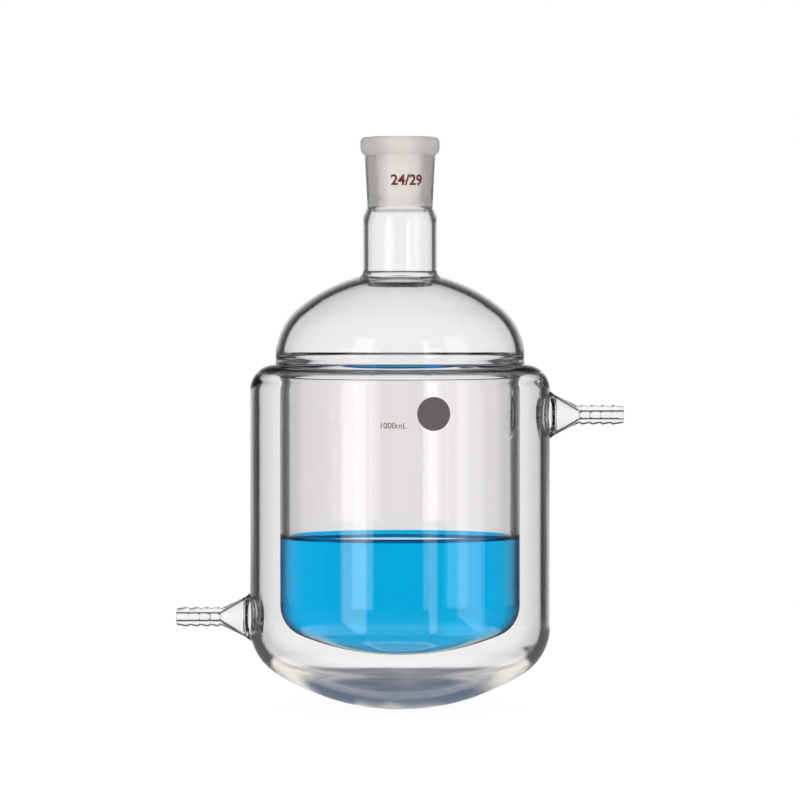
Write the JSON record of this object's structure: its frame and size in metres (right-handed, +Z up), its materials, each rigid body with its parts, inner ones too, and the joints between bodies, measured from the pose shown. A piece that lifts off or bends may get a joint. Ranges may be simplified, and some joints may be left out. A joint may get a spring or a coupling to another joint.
{
  "type": "jacketed glass reactor",
  "caption": "Round-bottomed glass vessel fused inside a wider dished glass jacket, with a domed head, a ground taper socket and a ridged hose nozzle low on one side and high on the other.",
  "frame": {"origin": "on the bench, under the middle of the jacket's flattened foot", "axes": "+Z up along the vessel's axis, +X towards the upper hose nozzle, -X towards the lower hose nozzle"},
  "size_m": [0.2234, 0.15, 0.285],
  "materials": {
    "clear_glass": "clear borosilicate, fire polished",
    "ground_glass": "ground, matt white"
  },
  "bodies": {
    "root": {"jacket_shell": "clear_glass", "inner_vessel": "clear_glass", "ring_seal": "clear_glass", "head_dome": "clear_glass", "neck_tube": "clear_glass", "ground_socket": "ground_glass", "lower_nozzle_flare": "clear_glass", "lower_hose_barb": "clear_glass", "upper_nozzle_flare": "clear_glass", "upper_hose_barb": "clear_glass"}
  },
  "joints": []
}
